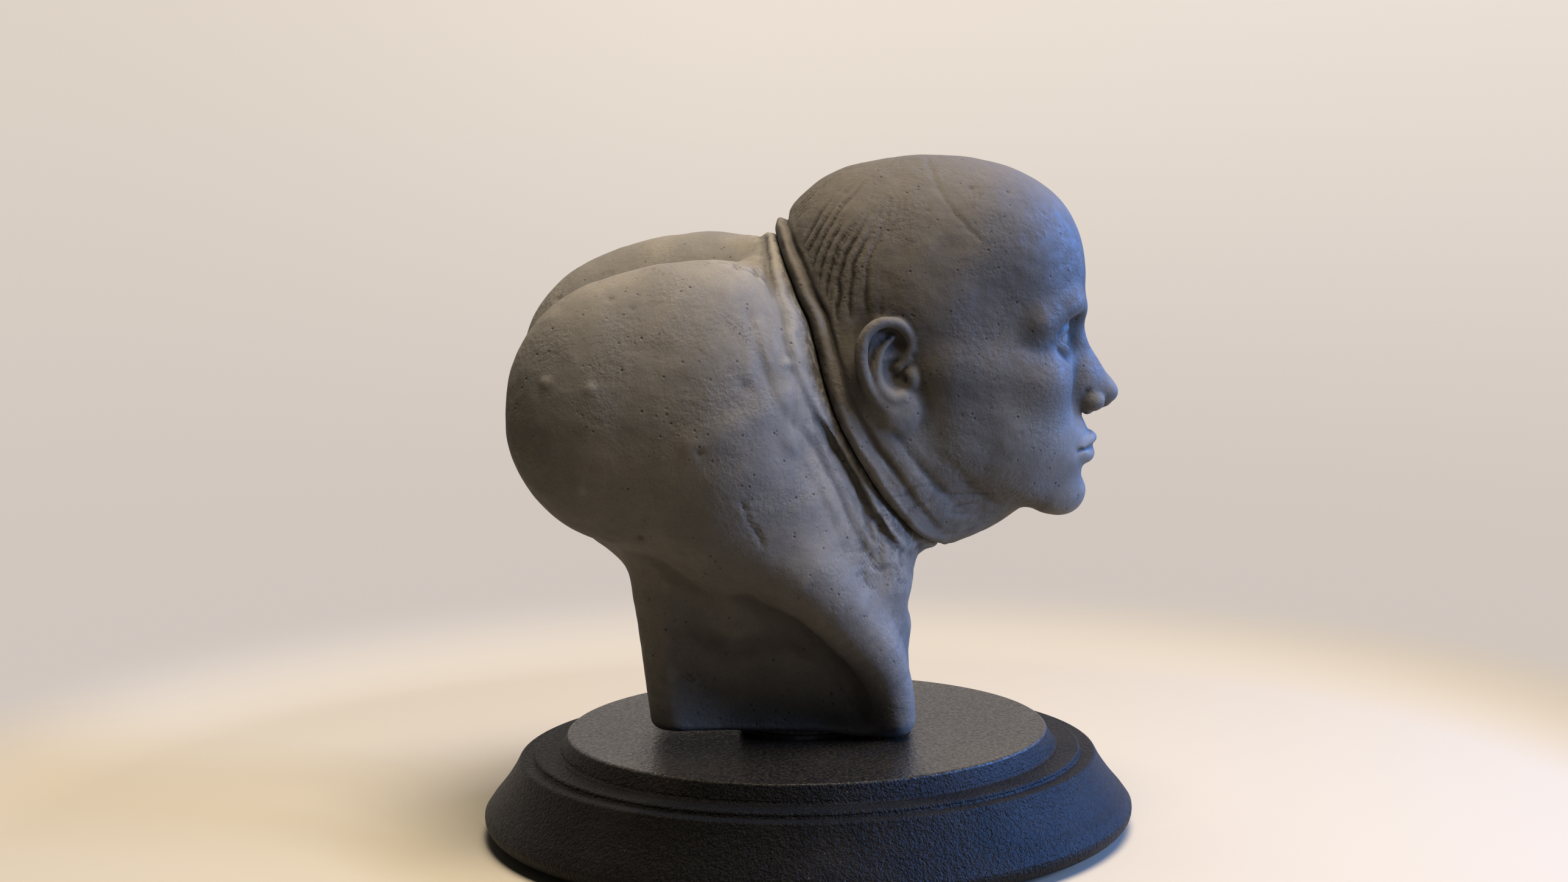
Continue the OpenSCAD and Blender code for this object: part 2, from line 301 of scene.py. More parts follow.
def nose(clay):
    # bridge, tip, flanks, wings, septum
    clay.add((70, 0, 118), 24, 4.0, rod((66.1, 0, 127.2), (74.6, 0, 112.0), 2.7, 3.4))
    clay.add((76, 0, 109), 18, 2.4, oval((76.3, 0, 109.7), (3.7, 3.3, 3.1)))
    clay.add((70, 4, 112), 18, 3.5, oval((69.6, 3.2, 112.3), (4.6, 3.5, 6.2)))
    clay.add((73, 5, 107), 14, 1.6, oval((72.9, 4.2, 107.5), (3.2, 1.9, 2.4)))
    clay.add((74, 0, 106), 12, 1.0, rod((76.8, 0, 107.0), (72.2, 0, 105.2), 1.05, 1.3))
    # nostrils and the creases behind the wings
    clay.cut((74, 3, 105), 10, 0.8, oval((74.3, 2.35, 105.2), (2.0, 1.0, 1.6), -12))
    clay.cut((70.5, 7, 107.5), 10, 1.6, tube(
        (71.6, 6.3, 110.4, 0.3), (70.3, 6.9, 107.6, 0.5), (70.8, 6.0, 105.3, 0.3)))


def mouth(clay):
    # philtrum and the fold from nose to mouth
    clay.cut((75, 0, 101.5), 10, 1.6, rod((74.9, 0, 104), (75.6, 0, 99.9), 0.7, 1.0))
    clay.cut((68, 10, 102), 18, 3.4, tube(
        (71.2, 7.8, 107.0, 0.05), (70.2, 10.2, 102.5, 0.15), (68.9, 12.2, 98.5, 0.05),
        (68.4, 13.4, 95.5, 0.02)))
    # upper lip, lower lip, the line between them, the corners
    clay.add((72, 3, 98), 16, 1.5, tube(
        (72.75, 0, 97.9, 1.4), (72.8, 1.7, 98.4, 1.55), (71.6, 5.0, 97.7, 1.3),
        (68.5, 9.0, 96.3, 0.7)))
    clay.add((72, 3, 94), 16, 1.5, tube(
        (72.0, 0, 94.2, 2.0), (71.3, 3.6, 94.2, 1.85), (69.8, 6.8, 94.9, 1.25),
        (68.3, 9.0, 96.0, 0.6)))
    clay.cut((72, 3, 96), 16, 0.7, tube(
        (74.55, 0, 96.15, 0.36), (73.8, 2.2, 96.45, 0.36), (72.0, 5.6, 96.2, 0.32),
        (69.6, 8.6, 95.95, 0.28), (68.9, 9.8, 95.8, 0.1)))
    clay.cut((69, 11, 95.6), 8, 2.6, oval((70.2, 11.2, 95.6), (1.0, 1.0, 1.3)))


def almond(pts):
    """The opening between the lids."""
    inner, outer = EYE_CORNERS
    t = np.clip((pts[:, 1] - inner) / (outer - inner), 0, 1)
    upper = 2.7 * np.power(np.maximum(np.sin(np.pi * np.power(t, 0.87)), 0), 0.8)
    lower = 1.7 * np.power(np.maximum(np.sin(np.pi * np.power(t, 1.1)), 0), 0.85)
    z = pts[:, 2] - (123.4 + 0.7 * t)
    dist = np.where(z > 0, z - upper, -z - lower)
    dist = np.maximum(dist, np.maximum(inner - pts[:, 1], pts[:, 1] - outer))
    floor = 62.0 + 2.6 * ease(0.13, 0.0, t) + 1.6 * ease(0.86, 1.0, t)
    return np.maximum(dist, floor - pts[:, 0])


def eyelids(clay):
    """A thin shell over each eyeball, opened by an almond."""
    centre = vec(*EYE)
    clay.add(EYE, 14, 1.8, lambda pts: length(pts - centre) - (EYE_R + LID))
    clay.add((65, 6.2, 123.7), 8, 1.6, oval((64.6, 6.2, 123.7), (2.1, 1.7, 1.7)))
    # creases above and below the lids
    clay.cut((66, 12, 127), 14, 1.0, tube(
        (66.4, 6.2, 126.2, 0.1), (67.8, 9.0, 128.3, 0.32), (67.4, 12.5, 128.8, 0.34),
        (65.0, 16.0, 127.4, 0.28), (62.9, 18.2, 125.4, 0.1)))
    clay.cut((66, 12, 120), 14, 1.8, tube(
        (66.2, 6.8, 121.0, 0.1), (66.8, 10.5, 118.9, 0.3), (65.4, 15.0, 119.4, 0.25),
        (63.4, 17.8, 121.2, 0.05)))
    clay.cut((66, 12, 124), 12, 0.35, almond)
    clay.cut(EYE, 12, 0.2, lambda pts: length(pts - centre) - (EYE_R + EYE_GAP))


def ears(clay):
    """Shaped in the ear's own frame: x forward, y up, z out from the head."""
    ahead = vec(math.cos(EAR_TURN), -math.sin(EAR_TURN), 0)
    out = vec(math.sin(EAR_TURN), math.cos(EAR_TURN), 0)
    up = vec(0, 0, 1)
    c, s = math.cos(EAR_LEAN), math.sin(EAR_LEAN)
    ear_x, ear_y = c * ahead + s * up, c * up - s * ahead
    origin = vec(*EAR)

    def local(pts):
        r = pts - origin
        return np.stack([(r @ ear_x) / EAR_STRETCH, r @ ear_y, r @ out], 1)

    def put(change, blend, shape):
        change(EAR, 22, blend, lambda pts: shape(local(pts)))

    # body, lobe, the two hollows
    put(clay.add, 2.2, oval((0.6, 0.8, 0.2), (6.2, 11.6, 2.1)))
    put(clay.add, 2.0, oval((1.2, -9.4, 0.8), (3.5, 4.0, 1.7)))
    put(clay.cut, 1.4, oval((0.8, -1.6, 2.7), (3.3, 4.9, 3.2)))
    put(clay.cut, 1.2, oval((1.0, 6.0, 2.9), (3.4, 3.6, 1.8)))
    # outer rim, inner ridge, front flap, ear hole
    put(clay.add, 0.8, tube(
        (2.2, 0.4, 1.3, 0.7), (4.6, 2.4, 1.8, 1.0), (5.3, 6.6, 2.3, 1.2), (3.0, 10.6, 2.7, 1.35),
        (-1.2, 11.7, 2.8, 1.35), (-5.0, 8.6, 2.7, 1.3), (-6.2, 3.6, 2.4, 1.2),
        (-5.5, -2.0, 2.0, 1.05), (-3.6, -6.4, 1.6, 1.0), (-1.2, -9.6, 1.2, 1.2)))
    put(clay.add, 0.9, tube(
        (1.8, 7.8, 1.7, 0.6), (-0.9, 5.4, 1.9, 0.8), (-3.1, 1.2, 2.1, 0.95),
        (-3.0, -3.4, 2.0, 0.95), (-0.9, -6.4, 2.0, 1.0), (1.6, -7.0, 2.0, 0.9)))
    put(clay.add, 1.0, oval((4.6, -2.6, 2.1), (1.5, 2.5, 1.3)))
    put(clay.cut, 0.8, oval((2.4, -3.0, 1.6), (1.3, 1.5, 1.3)))


def head_neck(pts, mirrored, dist):
    """Neck and throat ahead of the seam, with rolls of skin from the nape to the throat."""
    throat = oval((39, 0, 93), (19, 17, 19), -10)
    dist = smin(dist, smin(NECK(pts), throat(pts), 8), 4)
    s, r = seam(pts), round_neck(pts)
    off_ear = ease(8.5, 12.0, length((mirrored - vec(21, 30, 118)) * vec(1, 1, 0.8)))
    vary = 0.75 + 0.5 * noise(pts / 13.0, 7)
    dist = dist - 1.1 * bell(s - 2.5, 1.6) * ease(0.0, 0.1, r)
    crease = 5.2 + 1.2 * np.sin(r * 5.0) + 0.6 * noise(pts / 9.0, 8)
    dist = dist + (1.7 * vary * bell(s - crease, 0.95) * (0.25 + 0.75 * ease(0.2, 0.55, r))
                   * ease(0.04, 0.12, r) * (0.4 + 0.6 * off_ear))
    dist = dist + (0.45 * vary * bell(s - (10.5 + 6 * (0.5 - r)), 1.3)
                   * ease(0.04, 0.12, r) * ease(0.44, 0.30, r))
    dist = dist + (0.30 * bell(s - (17.0 + 8 * (0.4 - r)), 1.8)
                   * ease(0.02, 0.08, r) * ease(0.3, 0.18, r))
    return smax(dist, SEAM_GAP - s, 1.5)


def head_sdf(pts):
    pts = pts.astype(FLOAT)
    mirrored = np.stack([pts[:, 0], np.abs(pts[:, 1]), pts[:, 2]], 1)
    clay = Clay(mirrored, oval((31, 0, 132), (40, 30.3, 38))(mirrored))
    for part in (skull, cheeks_and_jaw, brow_and_sockets, muzzle_and_chin, nose, mouth, eyelids,
                 ears):
        part(clay)
    dist = head_neck(pts, mirrored, clay.dist)
    dist = np.maximum(dist, -HEAD_CORE(pts))
    return np.maximum(dist, -WIRES(pts))


# Torso

def shoulders(pts):
    """Two shoulder masses, the left one higher, with the trapezius and neck."""
    right = smin(oval((-38.2, -23.5, 108.8), (33.8, 21.5, 33.6))(pts),
                 oval((-18, -24.5, 103.5), (20.0, 20.5, 39.5))(pts), 14)
    left = smin(oval((-39.2, 23.5, 113.6), (34.4, 21.5, 34.2))(pts),
                oval((-20, 23.5, 109), (20.0, 20.5, 39.8))(pts), 14)
    dist = smin(right, left, 5)
    dist = smin(dist, oval((-24, 0, 98), (42, 24, 33))(pts), 9)
    dist = smin(dist, rod((-30, -21, 127), (-11, -12, 130.5), 14.5, 13.5)(pts), 9)
    dist = smin(dist, rod((-32, 21, 132), (-11, 12, 135.5), 15.5, 14.5)(pts), 9)
    return smin(dist, NECK(pts), 7)


def block(x, y, z):
    """The block the torso stands on: scooped sides, a flat back and front."""
    t = np.clip((z - 27) / 41, -0.2, 1.4)
    back, front = -38.6 - 5.0 * t, 26.7 - 1.8 * t
    half_x, mid_x = (front - back) / 2, (front + back) / 2
    rim = 60.0 - 0.40 * (np.minimum(x, -17.5) + 17.5) + 0.10 * np.maximum(x + 17.5, 0)
    scoop = ease(rim + 1.5, rim - 13.0, z) * (0.30 + 0.70 * ease(-39, -16, x))
    half_y = 23.6 + 0.04 * x - 5.2 * scoop
    corner = 8.5
    over_x, over_y = np.abs(x - mid_x) - half_x + corner, np.abs(y) - half_y + corner
    box = (np.sqrt(np.maximum(over_x, 0) ** 2 + np.maximum(over_y, 0) ** 2)
           + np.minimum(np.maximum(over_x, over_y), 0) - corner)
    return smax(box, z - 88, 8)


def chest(clay):
    # sweeps from under the shoulder down to the front corner of the block
    clay.add((4, 12, 72), 60, 8, rod((-4, 14.5, 84), (12, 12.5, 62), 18.0, 13.5))
    clay.add((8, 16, 56), 60, 4.5, tube(
        (-10.0, 29.0, 76.0, 10.0), (1.5, 28.0, 68.0, 9.4), (10.8, 25.0, 57.5, 8.2),
        (17.6, 21.6, 47.5, 6.6), (21.2, 19.0, 38.5, 5.3), (22.6, 18.0, 31, 4.4), steps=4))
    clay.add((12, 0, 70), 60, 8, oval((8, 0, 72), (16.5, 25, 22)))
    # the front of each shoulder flows into the neck
    clay.add((-6, 28, 102), 60, 10, rod((-9, 25.0, 119), (-3.5, 23.6, 88), 10.4, 10.8))
    clay.add((-8, 26, 84), 60, 10, rod((-15, 25.5, 95), (-3, 21.5, 76), 14.0, 11.8))
    # hollow between chest and throat
    clay.cut((33, 0, 60), 30, 5, oval((33.6, 0, 60.5), (8.0, 40, 3.8), -18))


def collar(pts, dist):
    """Folds behind the seam."""
    s, r = seam(pts), round_neck(pts)
    side = ease(0.0, 0.15, r)
    wave = 0.7 * np.sin(r * 7.0 + np.abs(pts[:, 1]) * 0.05)
    wave = wave + 0.9 * noise(pts / 12.0, 13)
    vary = 0.7 + 0.6 * noise(pts / 10.0, 14)
    dist = dist - 0.55 * bell(s + 1.5, 1.0) * side
    dist = dist + 0.85 * vary * bell(s + 3.3 + 0.4 * wave, 0.75) * side
    dist = dist + 0.55 * vary * bell(s + 7.2 + 0.9 * wave, 0.95) * side * ease(0.95, 0.7, r)
    dist = dist + (0.32 * vary * bell(s + 11.5 + 1.4 * wave, 1.3)
                   * ease(0.05, 0.25, r) * ease(0.7, 0.4, r))
    return smax(dist, s + SEAM_GAP, 1.5)


def torso_sdf(pts):
    pts = pts.astype(FLOAT)
    x, y, z = pts[:, 0], pts[:, 1], pts[:, 2]
    rho = np.sqrt(x * x + y * y)
    clay = Clay(np.stack([x, np.abs(y), z], 1), smin(shoulders(pts), block(x, y, z), 7))
    chest(clay)
    # the sole rises to the back and dips a little outside the foot plate
    edge = ease(17.3, 21.5, rho) * ease(-34, 8, x)
    sole = 26.5 + (27.4 - x) / 66 * 1.9 + 0.25 * noise(pts * 0.09, 11) * (1 - edge) - 0.85 * edge
    dist = collar(pts, smax(clay.dist, sole - z, 2.2))
    dist = np.maximum(dist, -TORSO_CORE(pts))
    dist = np.maximum(dist, -bore(rho, z, *PLATE_BORE))
    dist = np.maximum(dist, -bore(rho, z, *NUT_BORE))
    return np.maximum(dist, -WIRES(pts))


# Meshing

def in_batches(sdf, pts):
    return np.concatenate([sdf(b) for b in np.array_split(pts, max(1, len(pts) // 200000))])


def lattice(axes):
    return np.stack(np.meshgrid(*axes, indexing="ij"), -1).reshape(-1, 3)


def mesh_of(sdf, box, voxel, coarse=4):
    """Points and quads of a field's surface. Only blocks near the surface are done finely."""
    low, high = np.array(box, float)
    block_size = voxel * coarse
    count = np.ceil((high - low) / block_size).astype(int) + 1
    centres = lattice([low[k] + (np.arange(count[k]) + 0.5) * block_size for k in range(3)])
    rough = in_batches(sdf, centres.astype(FLOAT))
    live = np.abs(rough) < block_size * 1.7 + 0.8
    full = np.clip(rough, -2, 2).reshape(count)
    for axis in range(3):
        full = np.repeat(full, coarse, axis)
    full = full.astype(FLOAT)
    blocks = np.stack(np.unravel_index(np.nonzero(live)[0], count), 1)
    offsets = lattice([np.arange(coarse)] * 3)
    idx = (blocks[:, None, :] * coarse + offsets[None]).reshape(-1, 3)
    fine_pts = (low + (idx + 0.5) * voxel).astype(FLOAT)
    full[idx[:, 0], idx[:, 1], idx[:, 2]] = in_batches(sdf, fine_pts)
    grid = openvdb.FloatGrid(4.0)
    grid.copyFromArray(np.clip(full, -3.9, 3.9))
    pts, quads = grid.convertToQuads(0.0)
    pts = (low + (pts + 0.5) * voxel).astype(FLOAT)
    for _ in range(2):  # pull each point on to the true surface
        dist, normal = surface(sdf, pts)
        pts = pts - normal * np.clip(dist, -0.4 * voxel, 0.4 * voxel)[:, None]
    a, b, c = pts[quads[:, 0]], pts[quads[:, 1]], pts[quads[:, 2]]
    if float((a * np.cross(b, c)).sum()) < 0:
        quads = quads[:, ::-1]
    return pts, quads


def surface(sdf, pts, probe=0.06):
    """Distance and unit normal at each point."""
    dist = sdf(pts)
    grad = np.stack([sdf(pts + shift) - dist for shift in np.eye(3, dtype=FLOAT) * probe], 1)
    return dist, grad / np.maximum(length(grad), 1e-9)[:, None]


def ring_mean(quads, values):
    """Mean of each point's values over its neighbours along edges."""
    count = len(values)
    e = np.concatenate([quads[:, [k, (k + 1) % 4]] for k in range(4)])
    i, j = np.concatenate([e[:, 0], e[:, 1]]), np.concatenate([e[:, 1], e[:, 0]])
    degree = np.maximum(np.bincount(i, minlength=count), 1)
    values = values if values.ndim == 2 else values[:, None]
    return np.stack([np.bincount(i, weights=values[j, k], minlength=count) / degree
                     for k in range(values.shape[1])], 1)


def hollowness(pts, quads, normal, rounds):
    """Signed curvature, positive in hollows, spread wider by each round."""
    curve = ((ring_mean(quads, pts) - pts) * normal).sum(1)
    for _ in range(rounds):
        curve = ring_mean(quads, curve)[:, 0]
    return curve


def link(name, mesh):
    obj = bpy.data.objects.new(name, mesh)
    bpy.context.scene.collection.objects.link(obj)
    return obj


def quad_object(name, pts, quads, attributes):
    mesh = bpy.data.meshes.new(name)
    mesh.vertices.add(len(pts))
    mesh.vertices.foreach_set("co", (pts * MM).astype(FLOAT).ravel())
    mesh.loops.add(len(quads) * 4)
    mesh.loops.foreach_set("vertex_index", quads.astype(np.int32).ravel())
    mesh.polygons.add(len(quads))
    mesh.polygons.foreach_set("loop_start", np.arange(0, len(quads) * 4, 4, dtype=np.int32))
    mesh.polygons.foreach_set("use_smooth", np.ones(len(quads), bool))
    mesh.update(calc_edges=True)
    mesh.validate()
    for key, values in attributes.items():
        attribute = mesh.attributes.new(key, "FLOAT", "POINT")
        attribute.data.foreach_set("value", values.astype(FLOAT))
    return link(name, mesh)


# Finer relief: offsets along the normal

SIDE_VIEW = (0, 2)  # x and z
TOP_VIEW = (0, 1)  # x and y
SCALP_LINE = [(32, 168.8), (34.5, 161), (39, 154), (43.5, 149)]
# Spots on the torso's right side: x, z, width, height
SIDE_SPOTS = (
    (-60.2, 117.5, 1.4, 0.55), (-49.2, 116.3, 1.5, 0.5), (-39, 79, 1.3, -0.5),
    (-33, 43, 1.1, 0.5), (-3.4, 121, 1.0, 0.6), (-13, 116.5, 1.6, -0.35),
    (-24, 101, 1.1, -0.4), (-52, 92, 1.5, 0.4))
SIDE_RIDGE = [(-25, 103), (-12, 108), (-2, 115)]
SIDE_SCRATCH = [(-14.1, 88.8), (-12.6, 84.5), (-10.9, 81.0), (-9.5, 77.6)]
SIDE_CREASES = ([(15, 84), (16.2, 80.5), (17, 77)], [(19, 81), (21, 77), (24.5, 73)],
                [(22, 86), (25, 79), (29, 73.5)])
TOP_CREASES = ([(-19.3, -25), (-15, -26.5), (-8, -25.5)], [(-15.5, -23.5), (-15, -28)],
               [(-10.5, -22), (-9.8, -27.5)])


def strands(pts):
    """Combed strands over the back of the skull: depth of the grooves, and a mask."""
    x, y, z = pts[:, 0] - 31, pts[:, 1], pts[:, 2]
    sign = np.sign(y)
    arc = np.arctan2(y, -x) * 27
    curl = 7.0 * ease(120, 168, z) ** 2
    across = (arc + sign * (0.12 * (z - 140) - curl) + 1.5 * noise(pts / 11.0, 31)
              + 0.35 * noise(pts / 3.5, 32))
    clump = np.stack([across / 3.4, z / 21.0 + 0.4 * noise(pts / 11, 33), sign * 4.0 + 0 * z], 1)
    lines = (np.exp(-(np.sin(np.pi * across / 2.15) / 0.42) ** 2)
             * ease(-0.25, 0.35, noise(clump, 34)))
    lines = lines + (0.75 * np.exp(-(np.sin(np.pi * across / 1.57 + 0.8) / 0.5) ** 2)
                     * ease(0.0, 0.45, noise(clump * vec(1.3, 1.2, 1) + 7.7, 37)))
    mask = (ease(27, 9, pts[:, 0] - 0.10 * (z - 140) + 5 * noise(pts / 8.0, 35))
            * ease(104, 116, z) * ease(5.6, 8.0, seam(pts)))
    return np.clip(lines, 0, 1.2), mask


def line_in(pts, corners, view, width, seed=0, wander=0):
    """1 on a line drawn in a view, falling to 0 beside it."""
    if wander:
        pts = pts + wander * np.stack([noise(pts / 2.4, seed + k) for k in range(3)], 1)
    flat = np.zeros((len(pts), 3), FLOAT)
    flat[:, :2] = pts[:, view]
    dist = tube(*((u, v, 0.0, 0.0) for u, v in corners), steps=4)(flat)
    return np.exp(-(np.maximum(dist, 0) / width) ** 2)


def grain(pts, seed):
    """Roughness left beside the seam."""
    return np.maximum(noise(pts / 2.6, seed) - 0.1, 0)


def head_relief(pts, normal, s):
    x, y, z = pts[:, 0], pts[:, 1], pts[:, 2]
    d = 0.20 * two_octaves(pts / 11.0, 41) + 0.07 * noise(pts / 3.1, 43)
    d = d + 0.04 * noise(pts / 1.5, 44)
    face = ease(50, 62, x)
    d *= 1 - 0.55 * face
    groove, mask = strands(pts)
    d = d - (0.66 * groove - 0.22) * mask
    d = d - 0.30 * pits(pts, cell=5.5, seed=51, share=0.16, radii=(0.5, 0.95)) * (1 - 0.7 * face)
    rough = ease(2.6, 0.3, s) + 0.3 * ease(9, 3, s)
    d = d - 0.28 * rough * grain(pts, 45)
    # creases that fan out under the ear and across the throat
    throat = ease(60, 40, x) * ease(98, 84, z)
    d = d - 0.30 * throat * np.exp(-(noise(pts * vec(0.10, 0.16, 0.34), 47) / 0.16) ** 2)
    # a faint line over the right of the scalp
    return d - 0.20 * line_in(pts, SCALP_LINE, SIDE_VIEW, width=0.45, seed=48,
                              wander=0.3) * (y < 0)


def torso_relief(pts, normal, s):
    x, y, z = pts[:, 0], pts[:, 1], pts[:, 2]
    d = 0.32 * two_octaves(pts / 19.0, 61) + 0.09 * noise(pts / 4.3, 63)
    d = d + 0.05 * noise(pts / 2.1, 64)
    d = d - 0.34 * pits(pts, cell=8.0, seed=71, share=0.13, radii=(0.6, 1.2))
    d = d + 0.32 * pits(pts, cell=13.0, seed=81, share=0.10, radii=(0.8, 1.4))
    d = d - 0.34 * ease(-7, -0.5, s) * grain(pts, 65)
    streaks = np.maximum(noise(pts * vec(0.42, 0.42, 0.16), 66) - 0.1, 0)
    d = d - 0.30 * ease(-17, -5, s) * streaks
    # elephant-skin creases at the throat
    throat = ease(6, 16, x) * ease(62, 68, z) * ease(90, 80, z) * ease(-17, -9, s)
    d = (d - 0.42 * throat * np.exp(-(noise(pts / 4.2, 67) / 0.10) ** 2)
         - 0.25 * throat * np.exp(-(noise(pts / 2.5, 68) / 0.12) ** 2))
    # marks on the right side
    right = ease(-4, -9, y)
    side = right * ease(0.25, 0.55, -normal[:, 1])
    for u, v, width, height in SIDE_SPOTS:
        d = d + height * np.exp(-((x - u) ** 2 + (z - v) ** 2) / width ** 2) * side
    d = d + 0.55 * line_in(pts, SIDE_RIDGE, SIDE_VIEW, width=3.6) * side
    d = d - 0.50 * line_in(pts, SIDE_SCRATCH, SIDE_VIEW, width=0.42, seed=90, wander=0.3) * side
    for line in SIDE_CREASES:
        d = d - 0.5 * line_in(pts, line, SIDE_VIEW, width=0.5, seed=93, wander=0.5) * side
    top = ease(0.2, 0.5, normal[:, 2]) * right
    for line in TOP_CREASES:
        d = d - 0.5 * line_in(pts, line, TOP_VIEW, width=0.5, seed=96, wander=0.5) * top
    return d


def off_head_core(pts):
    return np.minimum(HEAD_CORE(pts), 9)


def off_torso_core(pts):
    """Distance from the core and, low down, from just outside the foot plate bore."""
    rho = np.sqrt(pts[:, 0] ** 2 + pts[:, 1] ** 2)
    low = bore(rho, pts[:, 2], radius=16.3, top=29.0)
    return np.minimum(TORSO_CORE(pts), np.where(pts[:, 2] < 42, low, 9))


def sculpt(name, sdf, box, voxel, relief, off_core):
    """Mesh a field, and relieve it everywhere but on the hollows and the seam face."""
    base, quads = mesh_of(sdf, box, voxel)
    normal = surface(sdf, base)[1]
    s = seam(base)
    outer = ease(0.4, 1.6, off_core(base)) * ease(0.2, 1.0, np.abs(s))
    pts = base + normal * (relief(base, normal, s) * outer)[:, None]
    pts = pts * 0.8 + ring_mean(quads, pts).astype(FLOAT) * 0.2
    fine = hollowness(pts, quads, normal, 2)
    wide = hollowness(pts, quads, normal, 24)
    hair = np.prod(strands(base), 0) if name == "head" else np.zeros(len(base), FLOAT)
    return quad_object(name, pts, quads, {
        "hair": hair, "fine": np.clip(fine / (0.045 * voxel), -1, 1),
        "wide": np.clip(wide / (0.012 * voxel), -1, 1), "seam": np.abs(s)})


def eyeball(name, side):
    """A ball with a shallow iris and a drilled pupil, turned to look level ahead."""
    rows, cols = 56, 72
    iris = 27  # degrees from the axis to the iris rim
    pts, quads = [], []
    for i in range(rows + 1):
        a = math.pi * (i / rows) ** 1.35
        deg = math.degrees(a)
        r = EYE_R
        r -= 0.16 * math.exp(-((deg - iris) / 3.0) ** 2)
        if deg < iris:
            r -= 0.07 * (1 - (deg / iris) ** 2)
        r -= 0.45 * (1 / (1 + math.exp((deg - 10.5) / 1.3)))
        for j in range(cols):
            b = 2 * math.pi * j / cols
            pts.append((EYE[0] + r * math.cos(a), side * EYE[1] + r * math.sin(a) * math.cos(b),
                        EYE[2] + r * math.sin(a) * math.sin(b)))
    for i in range(rows):
        for j in range(cols):
            k = (j + 1) % cols
            quads.append((i * cols + j, i * cols + k, (i + 1) * cols + k, (i + 1) * cols + j))
    obj = quad_object(name, np.array(pts, FLOAT), np.array(quads), {})
    bm = bmesh.new()
    bm.from_mesh(obj.data)
    bmesh.ops.remove_doubles(bm, verts=bm.verts, dist=1e-6)
    bmesh.ops.recalc_face_normals(bm, faces=bm.faces)
    bm.to_mesh(obj.data)
    bm.free()
    return obj


head = sculpt("head", head_sdf, HEAD_BOX, HEAD_VOXEL, head_relief, off_head_core)
torso = sculpt("torso", torso_sdf, TORSO_BOX, TORSO_VOXEL, torso_relief, off_torso_core)
eyes = [eyeball("eye_right", -1), eyeball("eye_left", 1)]

for obj, node, slot in (
        (head, "head_clay", "clay_primer"), (torso, "torso_clay", "clay_primer"),
        (eyes[0], "eyeballs", "eye_primer"), (eyes[1], "eyeballs", "eye_primer")):
    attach(obj, "bust")
    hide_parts(node)


# Materials

class Nodes:
    """Short calls for building a node tree. Sizes are in mm, colours are (r, g, b)."""

    def __init__(self, name):
        self.material = bpy.data.materials.new(name)
        self.material.use_nodes = True
        self.tree = self.material.node_tree
        self.principled = self.tree.nodes["Principled BSDF"]
        self.place = self.tree.nodes.new("ShaderNodeTexCoord").outputs["Object"]

    def plug(self, socket, value):
        if isinstance(value, bpy.types.NodeSocket):
            self.tree.links.new(value, socket)
        else:
            socket.default_value = (*value, 1.0) if socket.type == "RGBA" else value

    def coat(self, colour, roughness, normal, metallic=0.0, specular=0.5):
        for key, value in (("Base Color", colour), ("Roughness", roughness), ("Normal", normal),
                           ("Metallic", metallic), ("Specular IOR Level", specular)):
            self.plug(self.principled.inputs[key], value)

    def new(self, kind, inputs=(), **props):
        node = self.tree.nodes.new(kind)
        for key, value in props.items():
            setattr(node, key, value)
        for key, value in dict(inputs).items():
            self.plug(node.inputs[key], value)
        return node

    def noise(self, mm, detail=2.0, rough=0.5, stretch=None, shift=0.0):
        src = self.place
        if stretch:
            src = self.new("ShaderNodeMapping", {"Vector": src, "Scale": stretch}).outputs[0]
        if shift:
            by = (shift, shift * 0.7, -shift)
            src = self.new("ShaderNodeMapping", {"Vector": src, "Location": by}).outputs[0]
        return self.new("ShaderNodeTexNoise", {"Vector": src, "Scale": 1 / (mm * MM),
                                               "Detail": detail, "Roughness": rough}).outputs["Fac"]

    def cells(self, mm, feature="F1"):
        return self.new("ShaderNodeTexVoronoi", {"Vector": self.place, "Scale": 1 / (mm * MM)},
                        feature=feature).outputs["Distance"]

    def ramp(self, value, span, to=(0.0, 1.0)):
        return self.new("ShaderNodeMapRange",
                        {"Value": value, "From Min": span[0], "From Max": span[1],
                         "To Min": to[0], "To Max": to[1]},
                        interpolation_type="SMOOTHSTEP").outputs[0]

    def patches(self, mm, detail, rough, span, to=(0.0, 1.0), **options):
        return self.ramp(self.noise(mm, detail, rough, **options), span, to)

    def math(self, operation, a, b):
        return self.new("ShaderNodeMath", {0: a, 1: b, 2: 0.0}, operation=operation).outputs[0]

    def times(self, value, by):
        return self.math("MULTIPLY", value, by)

    def mix(self, fac, a, b, mode="MIX"):
        return self.new("ShaderNodeMix", {0: fac, 6: a, 7: b},
                        data_type="RGBA", blend_type=mode).outputs[2]

    def attr(self, name, span, to=(0.0, 1.0)):
        value = self.new("ShaderNodeAttribute", attribute_name=name).outputs["Fac"]
        return self.ramp(value, span, to)

    def axis(self, name, source=None):
        return self.new("ShaderNodeSeparateXYZ", {"Vector": source or self.place}).outputs[name]

    def bump(self, height, mm, strength, normal=None):
        inputs = {"Height": height, "Distance": mm * MM, "Strength": strength}
        if normal is not None:
            inputs["Normal"] = normal
        return self.new("ShaderNodeBump", inputs).outputs[0]


